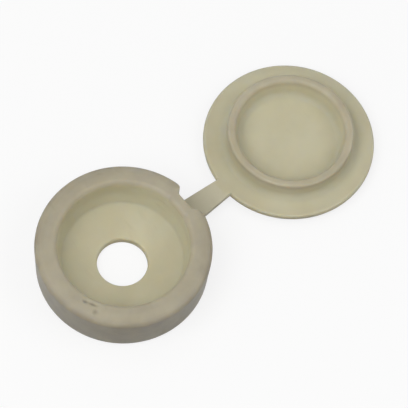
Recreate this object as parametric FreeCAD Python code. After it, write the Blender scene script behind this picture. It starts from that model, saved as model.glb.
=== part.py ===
import FreeCAD, Part

import math
import os

# Hinged screw cover cap, moulded in one piece and lying open as it leaves the mould.
# The cup takes the screw's head, the lid folds over it and the ring on the lid plugs the mouth.
# Millimetres. The origin is the centre of the screw hole on the underside.
# +X runs along the strap to the lid and +Z points up, out of the cup's mouth.

# Outer radius, the same for the cup and the lid
cap_radius = 7.25

# Cup
cup_height = 4.35
wall_draft = 0.15
cup_foot_round = 0.8
rim_round = 0.45
mouth_radius = 5.42
mouth_bevel = 0.35
seat_radius = 5.26
seat_depth = 2.55

# Screw hole at the bottom of the dished floor
screw_hole_radius = 2.1
floor_thickness = 0.7
hole_bevel = 0.15

# Lid, a shallow dome whose inner face is up while the cap lies open
lid_thickness = 1.2
lid_edge_thickness = 0.6
lid_edge_round = 0.15
lid_outer_flat_radius = 4.5
seat_gap = 0.05

# Ring on the lid that plugs the cup's mouth
ring_height = 1.45
ring_crest_width = 0.45
ring_crest_bevel = 0.12
ring_inner_lean = 0.15
ring_inner_round = 0.5
plug_clearance = 0.1

# Strap between the two, flush with the lid's inner face
strap_thickness = 0.5
strap_root_width = 2.2
strap_tip_width = 1.75
fold_standoff = 0.18
strap_end_in_lid = 0.85

# Notch in the cup's wall above the strap's root
notch_depth = 0.85
notch_floor_width = 1.5
notch_mouth_width = 2.8
notch_corner_round = 0.3
notch_lip_round = 0.5
notch_run_out = 0.8

# Places that follow from the sizes above
seat_level = cup_height - seat_depth
mouth_taper = (mouth_radius - seat_radius) / seat_depth
strap_top = lid_thickness
strap_length = cup_height + seat_gap - strap_top
root_fold_x = cap_radius + fold_standoff
lid_fold_x = root_fold_x + strap_length
lid_centre_x = root_fold_x + lid_fold_x
notch_floor_x = cap_radius - notch_depth


def corner_arc(before, corner, after, radius):
    """Start, middle and end of the arc that rounds one corner of an outline."""
    back = (before - corner).normalize()
    ahead = (after - corner).normalize()
    half_angle = back.getAngle(ahead) / 2
    reach = radius / math.tan(half_angle)
    bisector = (back + ahead).normalize()
    middle = corner + bisector * (radius / math.sin(half_angle) - radius)
    return corner + back * reach, middle, corner + ahead * reach


def rounded_face(corners):
    """Flat face whose outline passes (point, radius) corners, a sharp one where radius is 0."""
    points = [point for point, radius in corners]
    arcs = []
    for index, (point, radius) in enumerate(corners):
        before = points[index - 1]
        after = points[(index + 1) % len(points)]
        sharp = (point, point, point)
        arcs.append(corner_arc(before, point, after, radius) if radius else sharp)
    edges = []
    for index, (start, middle, end) in enumerate(arcs):
        edges.append(Part.LineSegment(arcs[index - 1][2], start).toShape())
        if corners[index][1]:
            edges.append(Part.Arc(start, middle, end).toShape())
    return Part.Face(Part.Wire(edges))


def turned(corners):
    """Solid of revolution about the Z axis from (radius, height, corner radius) rows."""
    section = [(FreeCAD.Vector(radius, 0, height), round_) for radius, height, round_ in corners]
    axis = FreeCAD.Vector(0, 0, 1)
    return rounded_face(section).revolve(FreeCAD.Vector(0, 0, 0), axis, 360)


def strap_piece(start_x, end_x):
    """The strap between two places along X, with the taper that runs from cup to lid."""
    def half_width(x):
        share = (x - root_fold_x) / strap_length
        return (strap_root_width + (strap_tip_width - strap_root_width) * share) / 2

    underside = strap_top - strap_thickness
    corners = [
        FreeCAD.Vector(start_x, -half_width(start_x), underside),
        FreeCAD.Vector(end_x, -half_width(end_x), underside),
        FreeCAD.Vector(end_x, half_width(end_x), underside),
        FreeCAD.Vector(start_x, half_width(start_x), underside),
    ]
    outline = Part.makePolygon(corners + corners[:1])
    return Part.Face(outline).extrude(FreeCAD.Vector(0, 0, strap_thickness))


def cup_body():
    """Cup with a drafted wall, a tapered mouth and a floor dished down to the screw hole."""
    floor_slope = (seat_level - floor_thickness) / (seat_radius - screw_hole_radius)
    return turned([
        (screw_hole_radius, 0, 0),
        (cap_radius - wall_draft, 0, cup_foot_round),
        (cap_radius, cup_height, rim_round),
        (mouth_radius + mouth_bevel, cup_height, 0),
        (mouth_radius - mouth_taper * mouth_bevel, cup_height - mouth_bevel, 0),
        (seat_radius, seat_level, 0),
        (screw_hole_radius + hole_bevel, floor_thickness + floor_slope * hole_bevel, 0),
        (screw_hole_radius, floor_thickness - hole_bevel, 0),
    ])


def notch_tool():
    """Upright prism that opens the wall from the strap's top to the rim, flaring outwards."""
    half_floor = notch_floor_width / 2
    half_mouth = notch_mouth_width / 2
    lip_x = math.sqrt(cap_radius ** 2 - half_mouth ** 2)
    outside_x = cap_radius + notch_run_out
    # Past the lip the outline runs along the tangent of the outer wall, clear of the cup
    tangent_x = lip_x - notch_run_out * half_mouth / cap_radius
    tangent_y = half_mouth + notch_run_out * lip_x / cap_radius
    lower_side = [
        (outside_x, -tangent_y, 0),
        (tangent_x, -tangent_y, 0),
        (lip_x, -half_mouth, notch_lip_round),
        (notch_floor_x, -half_floor, notch_corner_round),
    ]
    upper_side = [(x, -y, round_) for x, y, round_ in reversed(lower_side)]
    corners = [(FreeCAD.Vector(x, y, strap_top), round_) for x, y, round_ in lower_side + upper_side]
    return rounded_face(corners).extrude(FreeCAD.Vector(0, 0, cup_height - strap_top))


def base_cup():
    """Cup with its notch and the strap's root up to the first fold."""
    root = strap_piece(notch_floor_x, root_fold_x)
    return cup_body().cut(notch_tool()).fuse(root).removeSplitter()


def hinge_strap():
    """Free length of the strap between its two folds."""
    return strap_piece(root_fold_x, lid_fold_x)


def lid_body():
    """Dome with the plug ring, whose outside runs parallel to the mouth's wall when closed."""
    ring_foot = mouth_radius + mouth_taper * seat_gap - plug_clearance
    ring_tip = ring_foot - mouth_taper * ring_height
    ring_inside = ring_tip - ring_crest_width
    crest = lid_thickness + ring_height
    return turned([
        (0, 0, 0),
        (lid_outer_flat_radius, 0, 0),
        (cap_radius, lid_thickness - lid_edge_thickness, 0),
        (cap_radius, lid_thickness, lid_edge_round),
        (ring_foot + mouth_bevel, lid_thickness, 0),
        (ring_foot - mouth_taper * mouth_bevel, lid_thickness + mouth_bevel, 0),
        (ring_tip, crest - ring_crest_bevel, 0),
        (ring_tip - ring_crest_bevel, crest, 0),
        (ring_inside + ring_crest_bevel, crest, 0),
        (ring_inside, crest - ring_crest_bevel, 0),
        (ring_inside - ring_inner_lean, lid_thickness, ring_inner_round),
        (0, lid_thickness, 0),
    ])


def lid():
    """Lid with the strap's end from the second fold."""
    disc = lid_body().translate(FreeCAD.Vector(lid_centre_x, 0, 0))
    inside_disc = lid_centre_x - cap_radius + strap_end_in_lid
    return disc.fuse(strap_piece(lid_fold_x, inside_disc)).removeSplitter()


def save(name, shape):
    """Write one named piece and print its volume."""
    shape.exportStep("parts/" + name + ".step")
    print(name, "volume", round(shape.Volume, 2), "mm3, closed", shape.isValid())


os.makedirs("parts", exist_ok=True)
save("base_cup", base_cup())
save("hinge_strap", hinge_strap())
save("lid", lid())
print("folds at x", root_fold_x, lid_fold_x, "height", strap_top, "lid centre at x", lid_centre_x)
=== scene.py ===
# %% [markdown]
# # A hinged screw cover cap
#
# The real object is one small moulding of ivory plastic. A cup takes a screw's head, a strap
# holds a lid beside it, and the lid folds over to hide the screw. Here it lies open on a table.
# The CAD model gives the sizes and the two folds, and this lesson makes it look like the plastic.

# %% Open the frame
import math
from collections import namedtuple

import bmesh
import bpy
import numpy as np
from mathutils import Matrix, Vector


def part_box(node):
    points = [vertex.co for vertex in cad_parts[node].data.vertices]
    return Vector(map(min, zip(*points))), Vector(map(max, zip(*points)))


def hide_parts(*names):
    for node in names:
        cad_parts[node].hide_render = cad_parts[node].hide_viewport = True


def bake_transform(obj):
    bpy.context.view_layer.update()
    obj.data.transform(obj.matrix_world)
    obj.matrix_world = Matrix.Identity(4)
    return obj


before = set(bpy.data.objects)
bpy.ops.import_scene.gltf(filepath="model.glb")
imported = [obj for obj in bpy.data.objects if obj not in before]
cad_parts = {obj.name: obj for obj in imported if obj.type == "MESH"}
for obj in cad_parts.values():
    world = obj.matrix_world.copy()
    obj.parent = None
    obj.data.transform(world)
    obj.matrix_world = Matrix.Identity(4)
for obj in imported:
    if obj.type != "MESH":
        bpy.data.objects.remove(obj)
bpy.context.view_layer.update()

# %% [markdown]
# ## Sizes
#
# Blender works in metres and a cap is drawn in millimetres, so one factor turns the one into the
# other. What the frame can tell is read from its boxes. The cup's radius is repeated from the
# CAD, because the box round a cup of flat facets is a hair too small.

# %% Read the sizes
mm = 0.001

cup_low, cup_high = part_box("base_cup")
strap_low, strap_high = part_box("hinge_strap")

cap_radius = 7.25
cup_height = (cup_high - cup_low).z / mm
lid_thickness = strap_high.z / mm
root_fold_x = strap_low.x / mm
lid_fold_x = strap_high.x / mm
middle_x = (root_fold_x + lid_fold_x) / 2
lid_centre_x = root_fold_x + lid_fold_x
print("cup height", round(cup_height, 3), "folds at", round(root_fold_x, 3), round(lid_fold_x, 3))

# %% [markdown]
# ## Rounded outlines
#
# Every corner of a moulding is rounded, because a sharp one would tear in the mould. An outline is
# a row of corners, each with its own round. Each straight run between two rounds gets a few points
# of its own. The first and the last lie close to its ends: they hold the smooth shading of the
# round back from the flat surface.

# %% Round an outline
steps_in_round = 8
most_of_run = 0.45
points_in_run = 6
hold = 0.07
most_hold = 1 / 3
least_run = 1e-9


def corner_points(before, corner, after, round_):
    """Points along the arc that rounds one corner, which leaves a part of both runs straight."""
    back, ahead = before - corner, after - corner
    back_length, ahead_length = np.linalg.norm(back), np.linalg.norm(ahead)
    back, ahead = back / back_length, ahead / ahead_length
    half = math.acos(np.clip(back @ ahead, -1, 1)) / 2
    reach = min(round_ / math.tan(half), most_of_run * back_length, most_of_run * ahead_length)
    middle = corner + (back + ahead) / np.linalg.norm(back + ahead) * reach / math.cos(half)
    start, end = corner + back * reach - middle, corner + ahead * reach - middle
    turn = math.atan2(start[0] * end[1] - start[1] * end[0], start @ end)
    across = np.array([-start[1], start[0]])
    angles = np.linspace(0, turn, steps_in_round + 1)
    return [middle + start * math.cos(a) + across * math.sin(a) for a in angles]


def run_points(start, end):
    """Points along a straight run, the first and the last close to its ends."""
    share = min(most_hold, hold / max(np.linalg.norm(end - start), least_run))
    return [start + (end - start) * s for s in np.linspace(share, 1 - share, points_in_run)]


def outline(corners, closed):
    """Points of an outline from (across, up, round) corners; an open one keeps its two ends."""
    places = [np.array(corner[:2], float) for corner in corners]
    arcs = []
    for i, (_, _, round_) in enumerate(corners):
        before, here, after = places[i - 1], places[i], places[(i + 1) % len(places)]
        at_end = not closed and i in (0, len(corners) - 1)
        arcs.append([here] if at_end else corner_points(before, here, after, round_))
    points = []
    for i, arc in enumerate(arcs):
        points += arc
        if closed or i < len(arcs) - 1:
            points += run_points(arc[-1], arcs[(i + 1) % len(arcs)][0])
    return np.array(points)


print("points in a square with soft corners",
      len(outline([(0, 0, 0.1), (1, 0, 0.1), (1, 1, 0.1), (0, 1, 0.1)], closed=True)))


# %% [markdown]
# ## From points to a closed skin
#
# A piece is drawn as rings of points, one outline after the other, with four-sided faces between
# them. The skin has to be closed and its faces have to point outwards, or the light inside the
# plastic gets lost. So doubles are merged, the faces are turned, and the open edges are counted.

# %% Draw a skin
merge_distance = 0.0005


def joined_rings(rings, all_round):
    """Faces from each ring of points to the next, on to the first one or closed by two ends."""
    bm = bmesh.new()
    verts = [[bm.verts.new(point) for point in ring] for ring in rings]
    following = verts[1:] + verts[:1] if all_round else verts[1:]
    for this, that in zip(verts, following):
        for i in range(len(this)):
            j = (i + 1) % len(this)
            bm.faces.new((this[i], this[j], that[j], that[i]))
    if not all_round:
        bm.faces.new(verts[0])
        bm.faces.new(verts[-1])
    return bm


def open_edges(bm):
    """How many edges lack their two faces, which is 0 in a closed skin."""
    return sum(len(edge.link_faces) != 2 for edge in bm.edges)


def added(name, data):
    """New object in the scene for a mesh, a lamp or a camera."""
    made = bpy.data.objects.new(name, data)
    bpy.context.scene.collection.objects.link(made)
    return made


def drawn(name, bm):
    """Smooth closed object in metres from a bmesh drawn in millimetres."""
    bmesh.ops.remove_doubles(bm, verts=bm.verts, dist=merge_distance)
    bmesh.ops.recalc_face_normals(bm, faces=bm.faces)
    if bm.calc_volume(signed=True) < 0:
        bmesh.ops.reverse_faces(bm, faces=bm.faces)
    bmesh.ops.scale(bm, vec=(mm, mm, mm), verts=bm.verts)
    print(name, len(bm.faces), "faces,", open_edges(bm), "open edges")
    mesh = bpy.data.meshes.new(name)
    bm.to_mesh(mesh)
    bm.free()
    mesh.shade_smooth()
    return added(name, mesh)


def plain_mesh(live):
    """Copy of an object's mesh with its modifiers run."""
    bpy.context.view_layer.update()
    evaluated = live.evaluated_get(bpy.context.evaluated_depsgraph_get())
    return bpy.data.meshes.new_from_object(evaluated)


# %% [markdown]
# ## The cup
#
# The cup is turned, like a small pot: a drafted wall, a rim that slopes softly outwards, a mouth,
# an inner wall in two steps for the plug, and a floor dished down to the screw's hole. One place
# breaks the turning: above the strap the wall is cut back by a notch, so that the folded strap
# has room. A plain lathe can't do that and a cut leaves hard edges, so the outline is worked out
# again for each direction and the rings of points are joined.

# %% Shape the notch
notch_floor_x = 6.4
notch_corner_round = 0.3
notch_lip_round = 0.5
past_lip = 0.3


def notch_side(half_floor, half_lip):
    """Directions and radii along one side of the notch, from its middle to past its lip."""
    lip_x = math.sqrt(cap_radius**2 - half_lip**2)
    plan = outline([
        (notch_floor_x, 0, 0),
        (notch_floor_x, half_floor, notch_corner_round),
        (lip_x, half_lip, notch_lip_round),
        (lip_x - half_lip * past_lip, half_lip + lip_x * past_lip, 0),
    ], closed=False)
    return np.arctan2(plan[:, 1], plan[:, 0]), np.hypot(plan[:, 0], plan[:, 1])


# The side nearer to the camera is cut a little wider
far_side = notch_side(half_floor=0.75, half_lip=1.4)
near_side = notch_side(half_floor=0.95, half_lip=1.75)


def wall_radius(direction):
    """How far out the wall stands above the strap in one direction."""
    side = far_side if direction > 0 else near_side
    return min(cap_radius, float(np.interp(abs(direction), *side)))


print("notch from", round(wall_radius(0), 2), "mm out to", cap_radius)

# %% [markdown]
# Where the wall is cut back, the outline has a ledge level with the strap, and the rim is narrower
# and steeper. Elsewhere two corners that hardly turn stand in for the ledge, so that every
# direction has as many points as the next and their rings can be joined.

# %% Draw the cup's outline in one direction
wall_draft = 0.15
foot_round = 0.8
ledge_lip_round = 0.03
ledge_corner_round = 0.12
least_ledge = 0.01
plain_span = 0.1
plain_bow = 0.002
plain_round = 1
least_notch = 0.02
full_notch = 0.4
rim_shelf = 0.85
rim_drop = 0.3
notch_rim_shelf = 0.15
notch_rim_drop = 0.1
rim_outer_round = 0.5
rim_top_round = 1.2
mouth_radius = 5.42
mouth_round = 0.6
plug_end_radius = 5.37
plug_end_level = 2.65
plug_end_round = 2.2
seat_radius = 5.02
seat_level = 1.715
seat_round = 0.35
screw_hole_radius = 2.1
floor_thickness = 0.7
hole_round = 0.22
hole_foot_round = 0.1


def cup_outline(direction):
    """The cup's closed outline in one direction, with the notch where the wall is cut back."""
    wall_out = cap_radius - wall_draft * (1 - lid_thickness / cup_height)
    above = wall_radius(direction)
    depth = cap_radius - above
    if depth > least_notch:
        step = [
            (wall_out, lid_thickness, ledge_lip_round),
            (min(above, wall_out - least_ledge), lid_thickness, ledge_corner_round),
        ]
    else:
        step = [
            (wall_out - plain_bow, lid_thickness - plain_span, plain_round),
            (wall_out + plain_bow, lid_thickness + plain_span, plain_round),
        ]
    cut = min(1, depth / full_notch)
    shelf = rim_shelf + (notch_rim_shelf - rim_shelf) * cut
    drop = rim_drop + (notch_rim_drop - rim_drop) * cut
    return outline([
        (screw_hole_radius, 0, hole_foot_round),
        (cap_radius - wall_draft, 0, foot_round),
        *step,
        (above, cup_height - drop, rim_outer_round),
        (above - shelf, cup_height, rim_top_round),
        (mouth_radius, cup_height, mouth_round),
        (plug_end_radius, plug_end_level, plug_end_round),
        (seat_radius, seat_level, seat_round),
        (screw_hole_radius, floor_thickness, hole_round),
    ], closed=True)


print("points in the cup's outline", len(cup_outline(0)))

# %% [markdown]
# A few nicks mark the rim where the cap was knocked, and painted shade darkens them. A dent is a
# place where the points near its middle are pressed in, so the directions lie closer together there
# and at the notch. The same rule later tells the material where to paint that shade.

# %% Press the nicks
Nick = namedtuple("Nick", "direction radius half_length half_width depth dirt")
# The last column is how dark the painted shade in each nick is
nicks = [
    Nick(-160.0, 6.02, 0.20, 0.12, 0.08, 0.5),
    Nick(-154.0, 5.97, 0.32, 0.10, 0.07, 0.45),
    Nick(-149.4, 6.48, 0.17, 0.20, 0.07, 0.3),
    Nick(69.5, 6.60, 0.16, 0.10, 0.05, 0.15),
]
nick_zone = 0.5


def nick_share(points, nick):
    """How much each point belongs to a nick: 1 in its middle, 0 away from it and below the rim."""
    direction = np.arctan2(points[:, 1], points[:, 0])
    along = (direction - math.radians(nick.direction)) * nick.radius / nick.half_length
    across = (np.hypot(points[:, 0], points[:, 1]) - nick.radius) / nick.half_width
    near_rim = points[:, 2] > cup_height - nick_zone
    return np.exp(-(along**2) - across**2) * near_rim


def press_nicks(points):
    """Move the rim's points near each nick down, most in its middle."""
    for nick in nicks:
        points[:, 2] -= nick.depth * nick_share(points, nick)
    return points


print("nicks on the rim", len(nicks))

# %% Turn the cup
plain_step = 1.5
nick_step = 0.5
notch_step = 0.25


def cup_directions():
    """Directions round the cup in radians, close together at the nicks and the notch."""
    stretches = [
        (-180, -168, plain_step),
        (-168, -144, nick_step),
        (-144, -18, plain_step),
        (-18, 14, notch_step),
        (14, 180, plain_step),
    ]
    return np.radians(np.concatenate([np.arange(*stretch) for stretch in stretches]))


def cup_ring(direction):
    """The cup's outline turned to one direction, with the nicks pressed in."""
    out, up = cup_outline(direction).T
    return press_nicks(np.c_[out * math.cos(direction), out * math.sin(direction), up])


cup_rings = [cup_ring(direction) for direction in cup_directions()]
cup_bowl = drawn("cup_bowl", joined_rings(cup_rings, all_round=True))

# %% [markdown]
# ## The lid
#
# The lid is a plain turned piece: a shallow dome, upside down here, with a ring that plugs the
# cup's mouth. Its shape follows one rule, the same outline in every direction, so Geometry Nodes
# turn it. The tree lays a grid of points, one row for each point of the outline and one column
# for each direction, and moves each grid point to its outline point, turned about the lid's axis.
# Changing one input makes it finer.

# %% Draw the lid's outline
lid_flat_radius = 4.5
lid_dome_round = 5
lid_edge_thickness = 0.6
lid_lower_edge_round = 0.25
lid_upper_edge_round = 0.22
plug_clearance = 0.06
ring_height = 1.75
ring_crest_width = 0.7
ring_outer_lean = 0.04
ring_inner_lean = 0.25
ring_foot_round = 0.6
crest_outer_round = 0.2
crest_inner_round = 0.35

ring_foot = mouth_radius - plug_clearance
ring_tip = ring_foot - ring_outer_lean
ring_inside = ring_tip - ring_crest_width
crest_height = lid_thickness + ring_height
lid_line = outline([
    (0, 0, 0),
    (lid_flat_radius, 0, lid_dome_round),
    (cap_radius, lid_thickness - lid_edge_thickness, lid_lower_edge_round),
    (cap_radius, lid_thickness, lid_upper_edge_round),
    (ring_foot, lid_thickness, ring_foot_round),
    (ring_tip, crest_height, crest_outer_round),
    (ring_inside, crest_height, crest_inner_round),
    (ring_inside - ring_inner_lean, lid_thickness, ring_foot_round),
    (0, lid_thickness, 0),
], closed=False)
print("points in the lid's outline", len(lid_line))


# %% Feed a node
def feed(tree, socket, value):
    """Link a node's input to another node's output, or set it to a plain value."""
    if isinstance(value, bpy.types.NodeSocket):
        tree.links.new(value, socket)
    else:
        socket.default_value = value


def maths(tree, operation, *values):
    """Output of a new Math node that is fed the values in their order."""
    node = tree.nodes.new("ShaderNodeMath")
    node.operation = operation
    for socket, value in zip(node.inputs, values):
        feed(tree, socket, value)
    return node.outputs[0]


# %% Build the turning tree
def turning_tree():
    """Geometry Nodes tree that turns an outline of points about an upright axis."""
    tree = bpy.data.node_groups.new("Turned about an axis", "GeometryNodeTree")
    sockets = tree.interface
    sockets.new_socket("Outline", in_out="INPUT", socket_type="NodeSocketGeometry")
    steps = sockets.new_socket("Steps Around", in_out="INPUT", socket_type="NodeSocketInt")
    axis = sockets.new_socket("Axis Place", in_out="INPUT", socket_type="NodeSocketVector")
    finish = sockets.new_socket("Finish", in_out="INPUT", socket_type="NodeSocketMaterial")
    sockets.new_socket("Turned", in_out="OUTPUT", socket_type="NodeSocketGeometry")
    nodes, link = tree.nodes, tree.links.new
    given = nodes.new("NodeGroupInput").outputs
    result = nodes.new("NodeGroupOutput")

    size = nodes.new("GeometryNodeAttributeDomainSize")
    link(given["Outline"], size.inputs["Geometry"])
    rows = size.outputs["Point Count"]
    grid = nodes.new("GeometryNodeMeshGrid")
    link(maths(tree, "ADD", given["Steps Around"], 1), grid.inputs["Vertices X"])
    link(rows, grid.inputs["Vertices Y"])

    index = nodes.new("GeometryNodeInputIndex").outputs[0]
    row = maths(tree, "MODULO", index, rows)
    column = maths(tree, "FLOOR", maths(tree, "DIVIDE", index, rows))
    full_turns = maths(tree, "MULTIPLY", column, math.tau)
    angle = maths(tree, "DIVIDE", full_turns, given["Steps Around"])

    sample = nodes.new("GeometryNodeSampleIndex")
    sample.data_type = "FLOAT_VECTOR"
    link(given["Outline"], sample.inputs["Geometry"])
    link(nodes.new("GeometryNodeInputPosition").outputs[0], sample.inputs["Value"])
    link(row, sample.inputs["Index"])

    turn = nodes.new("ShaderNodeVectorRotate")
    turn.rotation_type = "Z_AXIS"
    link(sample.outputs[0], turn.inputs["Vector"])
    link(given["Axis Place"], turn.inputs["Center"])
    link(angle, turn.inputs["Angle"])

    move = nodes.new("GeometryNodeSetPosition")
    link(grid.outputs["Mesh"], move.inputs["Geometry"])
    link(turn.outputs[0], move.inputs["Position"])
    merge = nodes.new("GeometryNodeMergeByDistance")
    merge.inputs["Distance"].default_value = merge_distance * mm
    link(move.outputs[0], merge.inputs["Geometry"])
    smooth = nodes.new("GeometryNodeSetShadeSmooth")
    link(merge.outputs[0], smooth.inputs["Geometry"])
    realize = nodes.new("GeometryNodeRealizeInstances")
    link(smooth.outputs[0], realize.inputs["Geometry"])
    paint = nodes.new("GeometryNodeSetMaterial")
    link(realize.outputs[0], paint.inputs["Geometry"])
    link(given["Finish"], paint.inputs["Material"])
    link(paint.outputs[0], result.inputs["Turned"])
    return tree, {"steps": steps.identifier, "axis": axis.identifier, "finish": finish.identifier}


turning, turning_inputs = turning_tree()
print("turning tree has", len(turning.nodes), "nodes")

# %% [markdown]
# ## The plastic
#
# The plastic is ivory and a little cloudy: light goes in, scatters and comes out nearby, which
# softens the shading and darkens thin rims. A subsurface amount on the shader does that. Its skin
# is satin, with the fine grain of the mould and faint clouds of colour. Grain, clouds and rubbed
# marks are node groups, because the cup, the lid and the strap all use them. So is a painted
# shade: the rim, the outer wall and the ring's crest are painted greyer and darker than the floors.


# %% Make what the groups share
def shader_group(name, inputs, output):
    """New shader node group with float sockets: its tree, its inputs and its one output."""
    tree = bpy.data.node_groups.new(name, "ShaderNodeTree")
    for title, value in inputs.items():
        socket = tree.interface.new_socket(title, in_out="INPUT", socket_type="NodeSocketFloat")
        socket.default_value = value
    tree.interface.new_socket(output, in_out="OUTPUT", socket_type="NodeSocketFloat")
    given = tree.nodes.new("NodeGroupInput").outputs
    return tree, given, tree.nodes.new("NodeGroupOutput").inputs[0]


def noise_in(tree, scale, detail, stretch=(1, 1, 1)):
    """Noise over the piece's own coordinates."""
    place = tree.nodes.new("ShaderNodeTexCoord")
    mapping = tree.nodes.new("ShaderNodeMapping")
    mapping.inputs["Scale"].default_value = stretch
    noise = tree.nodes.new("ShaderNodeTexNoise")
    noise.inputs["Detail"].default_value = detail
    tree.links.new(place.outputs["Object"], mapping.inputs["Vector"])
    tree.links.new(mapping.outputs[0], noise.inputs["Vector"])
    tree.links.new(scale, noise.inputs["Scale"])
    return noise.outputs[0]


def ranged(tree, value, low, high):
    """Value stretched so that low becomes 0 and high becomes 1."""
    node = tree.nodes.new("ShaderNodeMapRange")
    node.inputs["From Min"].default_value = low
    node.inputs["From Max"].default_value = high
    tree.links.new(value, node.inputs["Value"])
    return node.outputs[0]


# %% Make the grain, the clouds and the rubbed marks
def grain_group():
    """Fine mould grain on a slow unevenness, as a height."""
    sizes = {"Grain Scale": 6500, "Swell Scale": 420, "Swell": 0.6}
    tree, given, height = shader_group("Mould grain", sizes, "Height")
    fine = noise_in(tree, given["Grain Scale"], detail=2)
    slow = noise_in(tree, given["Swell Scale"], detail=1)
    tree.links.new(maths(tree, "MULTIPLY_ADD", slow, given["Swell"], fine), height)
    return tree


def clouds_group():
    """Faint clouds in the plastic, as a mask."""
    tree, given, mask = shader_group("Plastic clouds", {"Cloud Scale": 260}, "Clouds")
    noise = noise_in(tree, given["Cloud Scale"], detail=3)
    tree.links.new(ranged(tree, noise, low=0.35, high=0.65), mask)
    return tree


def rubs_group():
    """Short rubbed marks from handling, as a mask."""
    tree, given, mask = shader_group("Rubbed marks", {"Rub Scale": 900}, "Rubs")
    noise = noise_in(tree, given["Rub Scale"], detail=4, stretch=(1, 0.25, 1))
    tree.links.new(ranged(tree, noise, low=0.62, high=0.74), mask)
    return tree


grain, clouds, rubs = grain_group(), clouds_group(), rubs_group()
print("groups", grain.name, clouds.name, rubs.name)


# %% Make the painted shade
def painted_shade_group():
    """Painted shade on the raised top and the outer side of a round piece, in blotches, as a mask.
    """
    tree, given, mask = shader_group("Painted shade", {
        "Axis X": 0, "Top Start": 0, "Top End": 1, "Top Amount": 0,
        "Side Start": 0, "Side End": 1, "Side Amount": 0, "Blotch Scale": 700,
    }, "Painted Shade")
    nodes, link = tree.nodes, tree.links.new

    def risen(value, title):
        """Smooth step of a value between two of the group's inputs, up to the amount."""
        node = nodes.new("ShaderNodeMapRange")
        node.interpolation_type = "SMOOTHSTEP"
        link(value, node.inputs["Value"])
        link(given[title + " Start"], node.inputs["From Min"])
        link(given[title + " End"], node.inputs["From Max"])
        link(given[title + " Amount"], node.inputs["To Max"])
        return node.outputs[0]

    split = nodes.new("ShaderNodeSeparateXYZ")
    link(nodes.new("ShaderNodeTexCoord").outputs["Object"], split.inputs[0])
    flat = nodes.new("ShaderNodeCombineXYZ")
    link(maths(tree, "SUBTRACT", split.outputs["X"], given["Axis X"]), flat.inputs["X"])
    link(split.outputs["Y"], flat.inputs["Y"])
    radius = nodes.new("ShaderNodeVectorMath")
    radius.operation = "LENGTH"
    link(flat.outputs[0], radius.inputs[0])
    top, side = risen(split.outputs["Z"], "Top"), risen(radius.outputs["Value"], "Side")
    noise = noise_in(tree, given["Blotch Scale"], detail=3)
    blotches = ranged(tree, noise, low=-0.6, high=0.65)
    link(maths(tree, "MULTIPLY", maths(tree, "MAXIMUM", top, side), blotches), mask)
    return tree


painted_shade = painted_shade_group()
print("group", painted_shade.name)

# %% [markdown]
# The colour is built up in layers, from the inside out: ivory with its clouds, rubbed marks on
# it, painted shade that greys the rim, the outer walls and the crest over that, and darker painted
# shade in the nicks on top. The strap gets no scattered light, and its own paragraph says why.


# %% Mix the plastic
def colour(red, green, blue):
    """A screen colour of 0 to 255 as the straight values that Blender's sockets take."""
    parts = [c / 255 for c in (red, green, blue)]
    return [c / 12.92 if c <= 0.04045 else ((c + 0.055) / 1.055) ** 2.4 for c in parts] + [1]


ivory = colour(205, 200, 173)
ivory_deep = colour(198, 192, 164)
rubbed = colour(176, 169, 141)
# Painted shade: a cool grey tint that darkens the rims, the outer walls and the ring's crest
painted_shade_tint = colour(212, 208, 217)
# Painted shade: a dark brown for the nicks
dirt = colour(96, 90, 76)
satin_roughness = 0.46
rubbed_roughness = 0.6
grain_depth = 0.006
grain_strength = 0.5
scatter_depth = 1.2
scatter_colour = (1.0, 0.8, 0.5)
print("ivory", [round(c, 3) for c in ivory[:3]], "rubbed", [round(c, 3) for c in rubbed[:3]])


def mixed(tree, share, under, over, blend="MIX"):
    """Colour of a new Mix node: under where the share is 0, blended with over where it is 1."""
    node = tree.nodes.new("ShaderNodeMix")
    node.data_type = "RGBA"
    node.blend_type = blend
    for place, value in ((0, share), (6, under), (7, over)):
        feed(tree, node.inputs[place], value)
    return node.outputs[2]


def plastic(name, rub_amount, cloudy, shade_sizes):
    """Ivory plastic material; the masks come from the shared groups."""
    material = bpy.data.materials.new(name)
    material.use_nodes = True
    tree = material.node_tree
    nodes, link = tree.nodes, tree.links.new
    shader = nodes["Principled BSDF"]

    def placed(group):
        """Node of a shared group in this material."""
        node = nodes.new("ShaderNodeGroup")
        node.node_tree = group
        return node

    # Painted shade on the raised top and the outer side, sized for each piece
    shade_node = placed(painted_shade)
    for title, value in shade_sizes.items():
        shade_node.inputs[title].default_value = value
    rub_mask = placed(rubs).outputs["Rubs"]
    nicked = nodes.new("ShaderNodeAttribute")
    nicked.attribute_name = "nicked"

    clouded = mixed(tree, placed(clouds).outputs["Clouds"], ivory, ivory_deep)
    marked = mixed(tree, maths(tree, "MULTIPLY", rub_mask, rub_amount), clouded, rubbed)
    # The painted shade tint is multiplied over the colour
    shaded = mixed(tree, shade_node.outputs["Painted Shade"], marked, painted_shade_tint, blend="MULTIPLY")
    # Painted shade in the nicks goes on top
    link(mixed(tree, nicked.outputs["Fac"], shaded, dirt), shader.inputs["Base Color"])

    rough = nodes.new("ShaderNodeMapRange")
    rough.inputs["To Min"].default_value = satin_roughness
    rough.inputs["To Max"].default_value = rubbed_roughness
    link(rub_mask, rough.inputs["Value"])
    link(rough.outputs[0], shader.inputs["Roughness"])

    bump = nodes.new("ShaderNodeBump")
    bump.inputs["Distance"].default_value = grain_depth * mm
    bump.inputs["Strength"].default_value = grain_strength
    link(placed(grain).outputs["Height"], bump.inputs["Height"])
    link(bump.outputs[0], shader.inputs["Normal"])

    shader.inputs["Subsurface Weight"].default_value = cloudy
    shader.inputs["Subsurface Radius"].default_value = scatter_colour
    shader.inputs["Subsurface Scale"].default_value = scatter_depth * mm
    shader.inputs["IOR"].default_value = 1.49
    shader.inputs["Specular IOR Level"].default_value = 0.35
    return material
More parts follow.
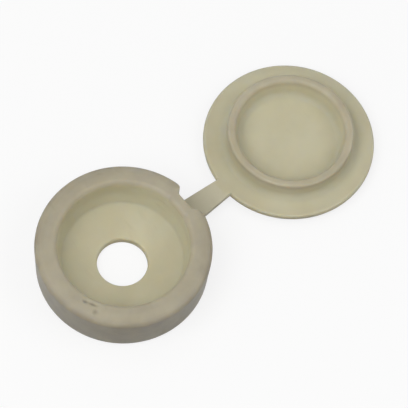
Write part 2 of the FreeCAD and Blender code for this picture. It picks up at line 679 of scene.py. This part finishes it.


# %% Mix it for the cup, the lid and the strap
# The sizes place the painted shade: the cup's rim and outer wall, the lid's crest and flange edge
cup_plastic = plastic("Cup plastic", rub_amount=0.25, cloudy=1, shade_sizes={
    "Top Start": 3.7 * mm, "Top End": 4.3 * mm, "Top Amount": 0.8,
    "Side Start": 6.0 * mm, "Side End": 7.1 * mm, "Side Amount": 1.0,
})
lid_plastic = plastic("Lid plastic", rub_amount=0.15, cloudy=1, shade_sizes={
    "Axis X": lid_centre_x * mm,
    "Top Start": 2.1 * mm, "Top End": 2.9 * mm, "Top Amount": 0.7,
    "Side Start": 6.2 * mm, "Side End": 7.2 * mm, "Side Amount": 0.25,
})
# The same painted shade greys the whole strap, in blotches
strap_plastic = plastic("Strap plastic", rub_amount=0.2, cloudy=0, shade_sizes={
    "Top Start": 0, "Top End": 0.1 * mm, "Top Amount": 0.35,
})
print("materials", [material.name for material in bpy.data.materials])

# %% [markdown]
# The outline becomes the lid here: a modifier runs the tree, and its result is copied into a plain
# mesh, so that the piece no longer depends on the tree.

# %% Turn the lid
lid_steps = 240


def turned_piece(name, line, centre_x, steps, finish):
    """Plain mesh object of an outline in millimetres turned about the axis at centre_x."""
    points = [((centre_x + x) * mm, 0, y * mm) for x, y in line]
    mesh = bpy.data.meshes.new(name + " outline")
    mesh.from_pydata(points, [(i, i + 1) for i in range(len(points) - 1)], [])
    holder = added(name + " outline", mesh)
    modifier = holder.modifiers.new("Turn", "NODES")
    modifier.node_group = turning
    modifier[turning_inputs["steps"]] = steps
    modifier[turning_inputs["axis"]] = (centre_x * mm, 0.0, 0.0)
    modifier[turning_inputs["finish"]] = finish
    turned = plain_mesh(holder)
    bpy.data.objects.remove(holder)
    bm = bmesh.new()
    bm.from_mesh(turned)
    bmesh.ops.scale(bm, vec=(1 / mm, 1 / mm, 1 / mm), verts=bm.verts)
    return drawn(name, bm)


lid_disc = turned_piece("lid_disc", lid_line, lid_centre_x, lid_steps, lid_plastic)

# %% [markdown]
# ## The strap
#
# The strap is a thin tapering band that bends at both ends, a living hinge. It is one
# cross-section moved along its length. The cap folds at two places, so the band is made twice: one
# copy is moulded onto the cup and shows up to the middle, the other onto the lid. Past the middle
# each copy runs on a hair's breadth inside the other, so that no gap opens between them. The
# light in the plastic would stop where the two hide each other and leave a dark band, so the
# strap's skin is the one that scatters none.

# %% Draw the strap
strap_thickness = 0.5
strap_root_width = 2.2
strap_tip_width = 1.75
strap_edge_round = 0.1
strap_steps = 90
root_end_x = 6.3
lid_end_x = 12.0
hair = 0.008
hair_ramp = 0.15
run_on = 1.1


def strap_section(x, inset, lift):
    """Closed cross-section of the strap at one place along it, a little smaller by the inset."""
    share = (x - root_fold_x) / (lid_fold_x - root_fold_x)
    half = (strap_root_width + (strap_tip_width - strap_root_width) * share) / 2 - inset
    low, high = lid_thickness - strap_thickness + inset, lid_thickness - inset + lift
    section = outline([
        (-half, low, strap_edge_round),
        (half, low, strap_edge_round),
        (half, high, strap_edge_round),
        (-half, high, strap_edge_round),
    ], closed=True)
    return [(x, y, z) for y, z in section]


# The strap's top is sunk inside the plastic and slightly proud of it outside, so the two never
# lie in one plane, where a Boolean can't tell them apart
sunk_lift, proud_lift = -0.012, 0.004


def strap_band(name, inner_x, outer_x, rise):
    """Band from inside the plastic at inner_x, over its rise, to its hidden end at outer_x."""
    sections = []
    for x in np.linspace(inner_x, outer_x, strap_steps):
        past_middle = (x - middle_x) / (outer_x - middle_x) * run_on
        inset = hair * (np.clip(past_middle / hair_ramp, -1, 1) + 1) / 2
        lift = np.interp(abs(x - inner_x), [0, rise], [sunk_lift, proud_lift])
        sections.append(strap_section(x, inset, lift))
    return drawn(name, joined_rings(sections, all_round=False))


cup_band = strap_band("cup_band", root_end_x, middle_x + run_on, rise=0.9)
lid_band = strap_band("lid_band", lid_end_x, middle_x - run_on, rise=1.0)

# %% [markdown]
# ## One moulding
#
# A strap that only pokes into the wall would show a dark seam, because the light inside the
# plastic stops at every hidden surface. A Boolean union melts the two into one skin. The edges
# that it leaves are marked sharp where they turn by much, and the rest stays smooth.

# %% Melt the strap onto the cup and the lid
sharp_turn = math.radians(38)


def moulded(name, body, band):
    """One closed skin from a body and its half of the strap."""
    union = body.modifiers.new("Melt together", "BOOLEAN")
    union.operation = "UNION"
    union.solver = "EXACT"
    union.object = band
    mesh = plain_mesh(body)
    bpy.data.objects.remove(body)
    bpy.data.objects.remove(band)
    bm = bmesh.new()
    bm.from_mesh(mesh)
    for edge in bm.edges:
        edge.smooth = edge.calc_face_angle(0) < sharp_turn
    print(name, len(bm.faces), "faces,", open_edges(bm), "open edges,",
          round(bm.calc_volume(signed=True) / mm**3, 1), "mm3")
    bm.to_mesh(mesh)
    bm.free()
    mesh.name = name
    return added(name, mesh)


cup = moulded("moulded_cup", cup_bowl, cup_band)
lid = moulded("moulded_lid", lid_disc, lid_band)

# %% [markdown]
# ## Finish
#
# Each piece gets its plastic and takes the place of its CAD nodes, which are hidden.

# %% Find the strap's faces
skin_margin = 0.02
tip_margin = 0.15


def on_strap(place):
    """Whether a place in millimetres is on the strap's skin, its root in the notch included."""
    below_middle = abs(place.z - lid_thickness + strap_thickness / 2)
    in_height = below_middle < strap_thickness / 2 + skin_margin
    in_width = abs(place.y) < strap_root_width / 2 + skin_margin
    return in_height and in_width and notch_floor_x < place.x < lid_fold_x - tip_margin


for piece in (cup, lid):
    print(piece.name, sum(on_strap(f.center / mm) for f in piece.data.polygons), "strap faces")


def dress(piece, material, first, second, fold_x, *nodes):
    """Give a piece its materials and its nick marks, and hide its CAD nodes; first, second and
    fold_x are not used.
    """
    piece.data.materials.clear()
    piece.data.materials.append(material)
    piece.data.materials.append(strap_plastic)
    for face in piece.data.polygons:
        face.material_index = int(on_strap(face.center / mm))
    places = np.array([vertex.co for vertex in piece.data.vertices]) / mm
    # How much painted shade each point gets from the nicks
    nick_shade_share = sum(nick.dirt * nick_share(places, nick) for nick in nicks)
    nicked = piece.data.attributes.new("nicked", "FLOAT", "POINT")
    nicked.data.foreach_set("value", nick_shade_share)
    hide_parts(*nodes)
    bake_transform(piece)


dress(cup, cup_plastic, "base", "strap", root_fold_x, "base_cup", "hinge_strap")
dress(lid, lid_plastic, "strap", "lid", lid_fold_x, "lid", "hinge_strap")

# %% [markdown]
# ## Camera
#
# The photograph was taken from above one corner with a long lens, a little rolled. The place, the
# aim and the lens were worked out from the two round outlines and the screw's hole.

# %% Set the camera
camera_place = Vector((-55.97, -60.02, 179.45)) * mm
camera_forward = Vector((0.32445, 0.30082, -0.89679))
camera_roll = math.radians(8.2)

camera_data = bpy.data.cameras.new("Camera")
camera_data.sensor_width = 36.0
camera_data.lens = 210.9
camera_data.clip_start = 5 * mm
camera_data.clip_end = 10
camera = added("Camera", camera_data)
level = camera_forward.to_track_quat("-Z", "Y").to_matrix()
rolled = Matrix.Rotation(camera_roll, 3, -camera_forward) @ level
camera.matrix_world = Matrix.Translation(camera_place) @ rolled.to_4x4()
bpy.context.scene.camera = camera
print("camera looks along", [round(v, 3) for v in camera_forward])

# %% [markdown]
# ## Floor and light
#
# The photograph shows plain white round the cap. The floor is a pale sheet that looks white to the
# camera and keeps the cap's soft shadow, while it throws back only a little light, because the
# real walls are dark near the table. The light is soft: a large key lamp on the cup's side, a fill
# lamp on the other, a weak one overhead, and a pale sky for the rest.

# %% Lay the floor
half_floor_width = 0.6
floor_pale = (0.9, 0.9, 0.9, 1)
floor_dull = (0.2, 0.2, 0.2, 1)
floor_white_share = 0.8


def floor_material():
    """Pale floor: white with a soft shadow to the camera, a dull sheet to the light."""
    material = bpy.data.materials.new("Pale floor")
    material.use_nodes = True
    tree = material.node_tree
    nodes, link = tree.nodes, tree.links.new
    nodes.clear()
    seen = nodes.new("ShaderNodeBsdfDiffuse")
    seen.inputs["Color"].default_value = floor_pale
    white = nodes.new("ShaderNodeEmission")
    white.inputs["Strength"].default_value = 1
    shadowed = nodes.new("ShaderNodeMixShader")
    shadowed.inputs[0].default_value = floor_white_share
    link(seen.outputs[0], shadowed.inputs[1])
    link(white.outputs[0], shadowed.inputs[2])
    dull = nodes.new("ShaderNodeBsdfDiffuse")
    dull.inputs["Color"].default_value = floor_dull

    path = nodes.new("ShaderNodeLightPath").outputs
    mirrored = maths(tree, "MAXIMUM", path["Is Glossy Ray"], path["Is Transmission Ray"])
    choose = nodes.new("ShaderNodeMixShader")
    link(maths(tree, "MAXIMUM", path["Is Camera Ray"], mirrored), choose.inputs[0])
    link(dull.outputs[0], choose.inputs[1])
    link(shadowed.outputs[0], choose.inputs[2])
    link(choose.outputs[0], nodes.new("ShaderNodeOutputMaterial").inputs["Surface"])
    return material


floor_corners = ((-1, -1), (1, -1), (1, 1), (-1, 1))
floor_mesh = bpy.data.meshes.new("Floor")
floor_mesh.from_pydata(
    [(x * half_floor_width, y * half_floor_width, 0) for x, y in floor_corners],
    [], [(0, 1, 2, 3)])
floor_mesh.materials.append(floor_material())
floor = added("Floor", floor_mesh)
print("floor", 2 * half_floor_width, "m wide")

# %% Hang the lamps
lamp_size = 0.28
lamps = [
    ("Key", (-0.23, 0.0, 0.344), 0.49),
    ("Fill", (0.18, -0.234, 0.305), 0.22),
    ("Overhead", (0.01, 0.11, 0.406), 0.10),
]


def lamp(name, place, level):
    """Square soft lamp aimed at the cap; at level 1 alone it shows white as white."""
    place = Vector(place)
    towards = Vector((middle_x * mm, 0, 0)) - place
    data = bpy.data.lights.new(name, "AREA")
    data.size = lamp_size
    data.energy = level * math.pi**2 * towards.length_squared
    aimed = towards.to_track_quat("-Z", "Y").to_matrix().to_4x4()
    made = added(name, data)
    made.matrix_world = Matrix.Translation(place) @ aimed
    return made


print("lamps", [lamp(*row).name for row in lamps])

# %% Open the sky
sky_light = 0.34
sky_seen = 1


def sky_world():
    """Pale sky that is white to the camera and weaker as a light."""
    world = bpy.data.worlds.new("Sky")
    world.use_nodes = True
    nodes, link = world.node_tree.nodes, world.node_tree.links.new
    sky = nodes["Background"]
    sky.inputs["Color"].default_value = (1, 1, 1, 1)
    strength = nodes.new("ShaderNodeMapRange")
    strength.inputs["To Min"].default_value = sky_light
    strength.inputs["To Max"].default_value = sky_seen
    path = nodes.new("ShaderNodeLightPath").outputs
    link(path["Is Camera Ray"], strength.inputs["Value"])
    link(strength.outputs[0], sky.inputs["Strength"])
    return world


bpy.context.scene.world = sky_world()
bpy.context.scene.view_settings.view_transform = "Standard"
print("sky", bpy.context.scene.world.name)
